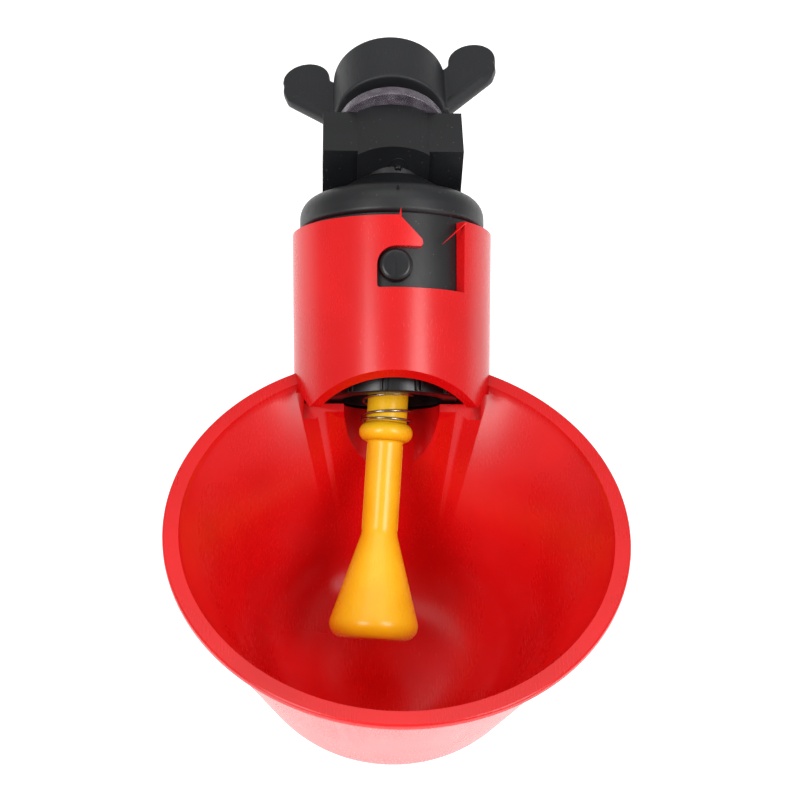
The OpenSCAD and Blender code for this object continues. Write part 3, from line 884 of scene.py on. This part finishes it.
@dataclass
class ValveBody(SubAssembly):
    """The black body: cross block, flange, spigot with its pins, threaded neck, stub and inlet seal."""

    block: Vector = field(default_factory=lambda: Vector((25.8, 10.9, 12.0)))
    block_foot: float = 1.0
    block_back: float = 5.35
    boss_width: float = 13.1
    boss_rise: float = 2.0
    boss_out: float = 1.0
    hose_radius: float = 4.1
    neck_radius: float = 6.9
    neck_bore: float = 4.6
    neck_end: float = 17.65
    pitch: float = 2.0
    flange_z: float = -14.6
    flange_height: float = 6.2
    flange_radius: float = 17.05
    flange_round: float = 4.0
    spigot_radius: float = 16.25
    spigot_foot: float = -30.1
    stub_radius: float = 10.6
    stub_foot: float = -37.95
    chamber_radius: float = 7.0
    pin_radius: float = 3.0
    pin_z: float = -24.4
    pin_end: float = 18.45
    seal_radius: float = 3.1
    seal_bore: float = 1.6
    seal_foot: float = -5.6
    seal_top: float = -2.0

    def build(self) -> None:
        """Builds the body's pieces."""
        self.cross_block()
        self.flange()
        self.spigot()
        self.pins()
        self.neck()
        self.marks()
        self.inlet_seal()

    def cross_block(self) -> None:
        """The block round the hose, with its boss and the cone that gathers the flange into it."""
        front = self.block_back - self.block.y
        middle = Vector((0, self.block_back - self.block.y / 2, -self.block_foot / 2))
        size = self.block + Vector((0, 0, self.block_foot))
        solid = box(size, middle, Matrix.Identity(4), "cross_block")
        half = self.boss_width / 2
        high = self.block.z / 2
        arc_radius = (half ** 2 + self.boss_rise ** 2) / (2 * self.boss_rise)
        spread = math.asin(half / arc_radius)
        crown = [(arc_radius * math.sin(a), high + self.boss_rise - arc_radius + arc_radius * math.cos(a))
                 for a in [spread * (k / 10 - 1) for k in range(21)]]
        outline = [(half, -high - 1.5), (-half, -high - 1.5)] + crown
        upright = Matrix.Rotation(math.pi / 2, 4, "X")
        boss = extrude([(-x, z) for x, z in outline], -self.block_back, -front + self.boss_out, upright,
                       "boss")
        low = self.flange_z + self.flange_height - 1
        wide = self.flange_radius - self.flange_round + 0.8
        narrow = half - 0.3
        skirt = revolve([(0, low - 2), (wide, low - 2), (wide, low), (narrow, low + 4.6),
                         (narrow, 0), (0, 0)], self.places.valve, "skirt", steps=96)
        sideways = Matrix.Rotation(math.pi / 2, 4, "Y")
        length = self.block.x
        hose = revolve([(0, -length), (self.hose_radius, -length), (self.hose_radius, length), (0, length)],
                       sideways, "hose_cut", steps=96)
        bore = revolve([(0, 0), (self.neck_bore, 0), (self.neck_bore, 30), (0, 30)],
                       self.places.clamp, "neck_cut", steps=96)
        solid = carve(solid, [boss, skirt], Carve.JOIN)
        solid = carve(solid, [hose, bore], Carve.CUT)
        settle(solid, edge=0.3, crease=30)
        solid.name = "cross_block"
        self.hand_over(solid, "body", "root", "black_plastic", "valve_body")

    def flange(self) -> None:
        """The rounded flange over the collar."""
        low, high = self.flange_z, self.flange_z + self.flange_height
        radius = self.flange_radius
        corners: list[Corner] = [(0, low, 0), (radius, low, 1.0), (radius, high, self.flange_round),
                                 (radius - self.flange_round - 1, high, 0), (0, high, 0)]
        piece = revolve(rounded(corners, closed=False, steps=16), self.places.valve, "flange", steps=160)
        settle(piece)
        self.hand_over(piece, "body", "root", "black_plastic")

    def spigot(self) -> None:
        """The spigot in the collar and the threaded stub under it."""
        corners: list[Corner] = [(0, self.flange_z + 1, 0), (self.spigot_radius, self.flange_z + 1, 0),
                                 (self.spigot_radius, self.spigot_foot, 0.6),
                                 (self.stub_radius, self.spigot_foot, 0),
                                 (self.stub_radius, self.stub_foot, 0.4),
                                 (self.chamber_radius, self.stub_foot, 0.3),
                                 (self.chamber_radius, self.flange_z + 3, 0),
                                 (0, self.flange_z + 3, 0)]
        piece = revolve(rounded(corners, closed=False), self.places.valve, "spigot", steps=128)
        settle(piece)
        self.hand_over(piece, "body", "root", "black_plastic")

    def pins(self) -> None:
        """The two bayonet pins, domed, each with the mould's parting line across it."""
        made = []
        for turn in (0.0, math.pi):
            outward = (self.places.valve @ Matrix.Rotation(turn, 4, "Z")
                       @ Matrix.Translation((0, 0, self.pin_z))
                       @ Matrix.Rotation(math.pi / 2, 4, "X"))
            corners: list[Corner] = [(0, self.spigot_radius - 3, 0),
                                     (self.pin_radius, self.spigot_radius - 3, 0),
                                     (self.pin_radius, self.pin_end - 0.1, 0.9), (0, self.pin_end - 0.1, 0)]
            pin = revolve(rounded(corners, closed=False, steps=10), outward, "pin", steps=64)
            groove = box(Vector((0.16, 2 * self.pin_radius + 1, 0.16)),
                         Vector((0, 0, self.pin_end - 0.1)), outward)
            made.append(carve(pin, [groove], Carve.CUT))
        piece = merge(made, "bayonet_pins")
        settle(piece, edge=0.05, crease=40)
        self.hand_over(piece, "cap", "root", "black_plastic")

    def neck(self) -> None:
        """The neck with its helical thread."""
        low, wide = self.block_back - 0.5, self.neck_radius - 0.55
        tube = rounded([(self.neck_bore, low, 0), (wide, low, 0), (wide, self.neck_end, 0.3),
                        (self.neck_bore, self.neck_end, 0.3)])
        core = revolve(tube, self.places.clamp, "neck_core", steps=96)
        root, crest = self.neck_radius - 0.7, self.neck_radius - 0.03
        low = self.block_back + 1.2
        section = [(root, low - 0.8), (crest, low - 0.2), (crest, low + 0.2), (root, low + 0.8)]
        turns = (self.neck_end - low - 1.2) / self.pitch
        thread = helix_ridge(section, self.pitch, turns, self.places.clamp, "thread")
        piece = merge([core, thread], "threaded_neck")
        settle(piece, crease=30)
        self.hand_over(piece, "body", "root", "black_plastic")

    def marks(self) -> None:
        """What the mould left on the front: the gate's stub on the boss and a nib on the flange."""
        front = self.block_back - self.block.y - self.boss_out
        stub = rounded([(0, -0.4, 0), (0.85, -0.4, 0), (0.62, 0.5, 0.2), (0.3, 0.62, 0), (0, 0.35, 0)],
                       closed=False)
        outward = Matrix.Translation((0.9, front, 2.9)) @ Matrix.Rotation(math.pi / 2, 4, "X")
        gate = revolve(stub, outward, "gate", steps=24)
        scar = revolve([(1.5, -0.2), (1.62, 0.07), (1.78, 0.07), (1.9, -0.2)],
                       outward @ Matrix.Diagonal((1, 1.25, 1, 1)), "scar", steps=48)
        nib_place = (self.places.valve
                     @ Matrix.Translation((0.4, -self.flange_radius + 0.5, self.flange_z + 4.4))
                     @ Matrix.Rotation(math.radians(60), 4, "X"))
        nib = revolve([(0, -0.4), (0.34, -0.4), (0.12, 0.75), (0, 0.75)], nib_place, "nib", steps=16)
        piece = merge([gate, scar, nib], "gate_marks")
        settle(piece)
        self.hand_over(piece, "cap", "root", "black_plastic")

    def inlet_seal(self) -> None:
        """The rubber ring round the inlet in the hose bore's floor, trimmed to the bore."""
        outline = [(self.seal_bore, self.seal_foot), (self.seal_radius, self.seal_foot),
                   (self.seal_radius, self.seal_top), (self.seal_bore, self.seal_top)]
        ring = revolve(outline, self.places.valve, "inlet_ring", steps=48)
        sideways = Matrix.Rotation(math.pi / 2, 4, "Y")
        trim = self.hose_radius + 0.05
        hose = revolve([(0, -9), (trim, -9), (trim, 9), (0, 9)], sideways, "seal_cut", steps=96)
        ring = carve(ring, [hose], Carve.CUT)
        settle(ring)
        self.hand_over(ring, "rubber", "root", "black_rubber", "inlet_seal")


# ---------------------------------------------------------------- valve and trigger


@dataclass
class Valve(SubAssembly):
    """What hangs in the collar: ribbed retaining nut, gasket, valve head, trigger and return spring."""

    nut_radius: float = 12.1
    nut_foot: float = -46.25
    nut_top: float = -31.1
    nut_bore: float = 10.7
    mouth: float = 4.3
    mouth_radius: float = 9.2
    web: float = 2.0
    web_hole: float = 4.0
    rib_pairs: int = 12
    rib_out: float = 0.7
    gasket: float = 2.0
    seat_hole: float = 4.4
    head_radius: float = 5.22
    neck_radius: float = 2.0
    upper_radius: float = 3.7
    bead_radius: float = 4.9
    bead_length: float = 3.4
    shank_radius: float = 3.2
    shank_length: float = 16.8
    paddle_radius: float = 8.7
    paddle_length: float = 19.2
    paddle_round: float = 2.6
    spring_radius: float = 4.83
    wire: float = 0.24
    spring_length: float = 8.5
    spring_turns: float = 3.3

    def build(self) -> None:
        """Builds the valve's pieces."""
        self.retaining_nut()
        self.seat()
        self.trigger()
        self.spring()

    def web_drop(self) -> float:
        """Distance from the pivot down to the underside of the nut's web."""
        return self.places.pivot - (self.nut_foot + self.mouth)

    def retaining_nut(self) -> None:
        """The nut, turned from its outline, with its grip ribs in pairs."""
        web_low = self.nut_foot + self.mouth
        web_high = web_low + self.web
        corners: list[Corner] = [(self.mouth_radius, self.nut_foot, 0.25),
                                 (self.nut_radius, self.nut_foot, 0.35),
                                 (self.nut_radius, self.nut_top, 0.3), (self.nut_bore, self.nut_top, 0.2),
                                 (self.nut_bore, web_high, 0.3), (self.web_hole, web_high, 0.2),
                                 (self.web_hole, web_low, 0.3), (self.mouth_radius, web_low, 0.3)]
        solids = [revolve(rounded(corners, steps=4), self.places.valve, "nut_shell", steps=144)]
        rib = Vector((0.5, self.rib_out + 0.6, self.nut_top - self.nut_foot - 0.5))
        for k in range(self.rib_pairs):
            for offset in (-2.1, 2.1):
                turn = Matrix.Rotation(math.radians(360 * k / self.rib_pairs + offset - 9), 4, "Z")
                centre = Vector((0, -self.nut_radius - (self.rib_out - 0.6) / 2,
                                 (self.nut_top + self.nut_foot) / 2))
                solids.append(box(rib, centre, self.places.valve @ turn, "rib"))
        piece = merge(solids, "retaining_nut_skin")
        settle(piece, edge=0.12)
        self.hand_over(piece, "cap", "root", "nut_plastic", "retaining_nut")

    def seat(self) -> None:
        """The seat gasket and the rubber head that closes on it."""
        low = self.nut_foot + self.mouth + self.web
        corners: list[Corner] = [(self.seat_hole, low, 0.2), (10.5, low, 0.2), (10.5, low + self.gasket, 0.2),
                                 (self.seat_hole, low + self.gasket, 0.2)]
        gasket = revolve(rounded(corners, steps=3), self.places.valve, "seat_gasket_ring", steps=64)
        settle(gasket)
        self.hand_over(gasket, "rubber", "root", "black_rubber", "seat_gasket")
        ball = self.head_radius
        flat = ball * 0.86
        arc = [(ball * math.cos(a), ball * math.sin(a))
               for a in [math.asin(0.54) - (math.asin(0.54) + math.asin(0.86)) * k / 20 for k in range(21)]]
        head = revolve([(0, ball * 0.54)] + arc + [(2.05, -flat), (2.05, 1.5), (0, 1.5)], self.places.trigger,
                       "valve_head_ball", steps=64)
        settle(head)
        self.hand_over(head, "rubber", "trigger", "black_rubber", "valve_head")

    def trigger(self) -> None:
        """The yellow trigger, turned from its outline."""
        web = self.web_drop()
        shoulder = web + 2.2
        bead_top = web + self.spring_length
        bead_foot = bead_top + self.bead_length
        shank_foot = bead_foot + self.shank_length
        foot = shank_foot + self.paddle_length
        bead_round = self.bead_length / 2 - 0.02
        corners: list[Corner] = [(0, 1.4, 0), (self.neck_radius, 1.4, 0.2),
                                 (self.neck_radius, -shoulder, 0.2),
                                 (self.upper_radius, -shoulder, 0.4), (self.upper_radius, -bead_top, 0.15),
                                 (self.bead_radius, -bead_top, bead_round),
                                 (self.bead_radius, -bead_foot, bead_round),
                                 (self.shank_radius, -bead_foot, 0.5), (self.shank_radius, -shank_foot, 6.0),
                                 (self.paddle_radius + 0.25, -foot, self.paddle_round), (0, -foot, 0)]
        piece = revolve(rounded(corners, closed=False, steps=10), self.places.trigger, "trigger", steps=128)
        settle(piece, crease=50)
        self.hand_over(piece, "trigger", "trigger", "yellow_plastic", "trigger_stem")
        seam = self.parting_line(bead_foot, shank_foot)
        self.hand_over(seam, "trigger", "trigger", "yellow_plastic")

    def parting_line(self, top: float, foot: float) -> bpy.types.Object:
        """The faint ridge where the mould's halves met, down both sides of the shank.

        Args:
            top: distance of its top below the pivot.
            foot: distance of its foot below the pivot.

        Returns:
            The ridge.
        """
        ridges = [box(Vector((0.14, 0.22, foot - top - 1)),
                      Vector((side * self.shank_radius, 0, -(top + foot) / 2)),
                      self.places.trigger, "ridge") for side in (-1, 1)]
        piece = merge(ridges, "trigger_parting_line")
        settle(piece, edge=0.05)
        return piece

    def spring(self) -> None:
        """The return spring: a closed turn on the bead, open turns, and a closed turn under the web."""
        radius = self.spring_radius - self.wire
        seat = -(self.web_drop() + self.spring_length) + self.wire
        section = [(radius + self.wire * math.cos(a), seat + self.wire * math.sin(a))
                   for a in [FULL_TURN * k / 12 for k in range(12)]]
        bm = bmesh.new()
        face = bm.faces.new([bm.verts.new((r, 0, z)) for r, z in section])
        rise = self.spring_length - 4 * self.wire
        closed = 2 * self.wire * 1.02
        runs = ((1.0, closed), (self.spring_turns - 1.0, rise - 2 * closed + 2 * self.wire), (1.0, closed))
        geometry: list[Any] = [face]
        for turns, climb in runs:
            count = round(turns * 64)
            spun = bmesh.ops.spin(bm, geom=geometry, cent=(0, 0, 0), axis=(0, 0, 1),
                                  dvec=(0, 0, climb / count), angle=FULL_TURN * turns, steps=count, use_merge=False, use_duplicate=False)
            geometry = spun["geom_last"]
        start = Matrix.Rotation(math.radians(150), 4, "Z")
        piece = solid_from(bm, "spring_coil", self.places.trigger @ start)
        settle(piece, merge_dist=0.001)
        self.hand_over(piece, "spring", "trigger", "spring_steel", "return_spring")


# ---------------------------------------------------------------- hose clamp


@dataclass
class HoseClamp(SubAssembly):
    """What the neck carries: the clamp pad, the clear washer and the wing nut."""

    pad_radius: float = 4.5
    hose_radius: float = 4.1
    washer_radius: float = 10.4
    washer_bore: float = 7.0
    washer_thick: float = 2.2
    nut_radius: float = 10.8
    nut_height: float = 12.1
    nut_bore: float = 7.0
    nut_end: float = 2.0
    wing_reach: float = 20.8
    wing_thick: float = 2.2
    wing_angle: float = 9.5
    lobe_radius: float = 4.6
    lobe_height: float = 14.2

    def build(self) -> None:
        """Builds the clamp's pieces."""
        self.pad()
        self.washer()
        self.wing_nut()

    def pad(self) -> None:
        """The plunger, with its end hollowed to the hose."""
        back = self.places.nut_front + self.nut_height - self.nut_end - 0.05
        corners: list[Corner] = [(0, 2.05, 0), (self.pad_radius, 2.05, 0),
                                 (self.pad_radius, back, 0.3), (0, back, 0)]
        plunger = revolve(rounded(corners, closed=False), self.places.clamp, "clamp_pad_plunger", steps=96)
        trim = self.hose_radius + 0.05
        hose = revolve([(0, -9), (trim, -9), (trim, 9), (0, 9)], Matrix.Rotation(math.pi / 2, 4, "Y"),
                       "pad_cut", steps=96)
        plunger = carve(plunger, [hose], Carve.CUT)
        settle(plunger, edge=0.08)
        self.hand_over(plunger, "body", "pad", "black_plastic", "clamp_pad")

    def washer(self) -> None:
        """The clear washer, cut from sheet."""
        low = self.places.washer_front
        high = low + self.washer_thick
        corners: list[Corner] = [(self.washer_bore, low, 0.1), (self.washer_radius, low, 0.25),
                                 (self.washer_radius, high, 0.3), (self.washer_bore, high, 0.1)]
        piece = revolve(rounded(corners, steps=5), self.places.clamp, "washer", steps=128)
        settle(piece, crease=50)
        self.hand_over(piece, "washer", "root", "clear_plastic", "clear_washer")

    def wing_outline(self) -> list[Point]:
        """One wing's (out, along) outline, from its root inside the nut."""
        inside = self.nut_radius - 2.0
        reach = self.wing_reach
        lobe_x = reach - self.lobe_radius
        lobe = [(lobe_x + self.lobe_radius * math.cos(a), self.lobe_height + self.lobe_radius * math.sin(a))
                for a in [math.radians(-20 + 205 * k / 24) for k in range(25)]]
        low = rounded([(inside, 0.1, 0), (self.nut_radius + 0.4, 0.1, 1.0), (reach - 0.9, 8.4, 2.0),
                       (reach - 0.1, 11.0, 0.8), (reach - 0.1, 12.2, 0)], closed=False)
        return low + lobe + [(self.nut_radius + 0.6, 12.9), (self.nut_radius - 0.4, 12.0), (inside, 11.6)]

    def wing_nut(self) -> None:
        """The wing nut: a capped barrel and two wings with a bead along their lower edges, fused together."""
        high = self.nut_height
        corners: list[Corner] = [(self.nut_bore, 0, 0.2), (self.nut_radius - 0.05, 0, 0.35),
                                 (self.nut_radius, high, 0.9), (0, high, 0), (0, high - self.nut_end, 0),
                                 (self.nut_bore, high - self.nut_end, 0.4)]
        barrel = rounded(corners[:4], closed=False, steps=6)
        barrel = [rounded(corners, steps=6)[0]] + barrel[1:] + [(0, high - self.nut_end)]
        barrel += [(self.nut_bore, high - self.nut_end)]
        turn = Matrix.Rotation(math.radians(-self.wing_angle), 4, "Z")
        place = self.places.clamp @ Matrix.Translation((0, 0, self.places.nut_front)) @ turn
        solids = [revolve(barrel, place, "barrel", steps=128)]
        half = self.wing_thick / 2
        for side in (0.0, math.pi):
            upright = place @ Matrix.Rotation(side, 4, "Z") @ Matrix.Rotation(math.pi / 2, 4, "X")
            solids.append(extrude(self.wing_outline(), -half, half, upright, "wing", edge=0.5))
            solids.append(self.wing_bead(upright))
        piece = fuse(merge(solids, "wing_nut_skin"), voxel=0.2, smoothing=5)
        settle(piece, crease=180, merge_dist=0.001)
        self.hand_over(piece, "wing", "nut", "wing_plastic", "wing_nut")

    def wing_bead(self, upright: Matrix) -> bpy.types.Object:
        """The rounded bead along a wing's lower edge.

        Args:
            upright: the wing's own frame, X out and Y along the nut's axis.

        Returns:
            The bead.
        """
        start = Vector((self.nut_radius - 0.6, 0.9, 0))
        end = Vector((self.wing_reach - 1.7, 9.3, 0))
        along = end - start
        radius = self.wing_thick * 0.62
        outline = rounded([(0, 0, 0), (radius, 0, 0), (radius, along.length, radius - 0.05),
                           (0, along.length, 0)],
                          closed=False)
        turned = Vector((0, 0, 1)).rotation_difference(along.normalized()).to_matrix().to_4x4()
        return revolve(outline, upright @ Matrix.Translation(start) @ turned, "bead", steps=32)


# ---------------------------------------------------------------- studio


@dataclass
class Studio:
    """The camera, the floor and the lights."""

    azimuth: float = -3.89
    elevation: float = 47.88
    roll: float = 3.25
    distance: float = 350.0
    shift_right: float = 0.44
    shift_up: float = 21.68
    lens: float = 92.26
    floor_drop: float = 60.0

    def camera(self, rim_centre: Vector) -> None:
        """Places the camera round the rim's centre.

        Args:
            rim_centre: centre of the cup's rim, in millimetres.
        """
        azimuth, elevation, roll = (math.radians(a) for a in (self.azimuth, self.elevation, self.roll))
        back = Vector((math.sin(azimuth) * math.cos(elevation), -math.cos(azimuth) * math.cos(elevation),
                       math.sin(elevation)))
        right = (-back).cross(Vector((0, 0, 1))).normalized()
        up = back.cross(right)
        rolled_right = right * math.cos(roll) + up * math.sin(roll)
        rolled_up = up * math.cos(roll) - right * math.sin(roll)
        spot = rim_centre + back * self.distance + rolled_right * self.shift_right + rolled_up * self.shift_up
        data = bpy.data.cameras.new("camera")
        data.lens = self.lens
        data.sensor_width = 36
        data.clip_start = 0.01
        camera = bpy.data.objects.new("camera", data)
        axes = Matrix((rolled_right, rolled_up, back)).transposed().to_4x4()
        camera.matrix_world = Matrix.Translation(spot * MM) @ axes
        bpy.context.scene.collection.objects.link(camera)
        bpy.context.scene.camera = camera

    def floor(self, low: float) -> None:
        """Lays the pale floor under the object.

        Args:
            low: height of the object's lowest point, in metres.
        """
        bm = bmesh.new()
        bmesh.ops.create_grid(bm, x_segments=1, y_segments=1, size=3)
        bmesh.ops.translate(bm, verts=bm.verts, vec=(0, 0, low - self.floor_drop * MM))
        mesh = bpy.data.meshes.new("floor")
        bm.to_mesh(mesh)
        bm.free()
        floor = bpy.data.objects.new("floor", mesh)
        bpy.context.scene.collection.objects.link(floor)
        material, tree, _ = start_material("pale studio floor")
        white = linear("#F8F8F8")
        finish_material(tree, {"Base Color": white, "Roughness": 0.9, "Emission Color": white,
                               "Emission Strength": 0.54})
        mesh.materials.append(material)
        floor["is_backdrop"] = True

    def lights(self) -> None:
        """Hangs two upright softboxes, one on each side of the camera, and a large one overhead."""
        target = Vector((0, -0.045, -0.02))
        boxes = (("softbox left", (-0.34, -0.42, 0.36), (0.22, 0.42), 2.1),
                 ("softbox right", (0.36, -0.38, 0.38), (0.22, 0.42), 2.1),
                 ("softbox overhead", (0.0, 0.10, 0.62), (0.7, 0.5), 1.2))
        for name, spot, size, power in boxes:
            data = bpy.data.lights.new(name, "AREA")
            data.shape = "RECTANGLE"
            data.size, data.size_y = size
            data.energy = power
            lamp = bpy.data.objects.new(name, data)
            lamp.location = spot
            lamp.rotation_mode = "QUATERNION"
            lamp.rotation_quaternion = (target - Vector(spot)).to_track_quat("-Z", "Y")
            bpy.context.scene.collection.objects.link(lamp)
        world = bpy.data.worlds.new("studio")
        bpy.context.scene.world = world
        world.use_nodes = True
        world.node_tree.nodes["Background"].inputs["Color"].default_value = linear("#FFFFFF")
        world.node_tree.nodes["Background"].inputs["Strength"].default_value = 0.45
        bpy.context.scene.view_settings.view_transform = "Standard"


def main() -> None:
    """Loads the frame and builds the object and its studio."""
    logging.basicConfig(level=logging.INFO, format="%(name)s: %(message)s")
    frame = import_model()
    cad_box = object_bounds()
    places = Places.from_frame(frame, Cup.depth, Cup.rim_radius, lean=3.6)
    studio = Studio()
    studio.camera(places.rim.translation)
    studio.floor(cad_box[0].z)
    studio.lights()
    palette = Palette()
    materials = {name: getattr(palette, name).material() for name in Palette.__dataclass_fields__}
    for kind in (Cup, ValveBody, Valve, HoseClamp):
        LOG.info("building %s", kind.__name__)
        kind(places, materials).build()


if __name__ == "__main__":
    main()
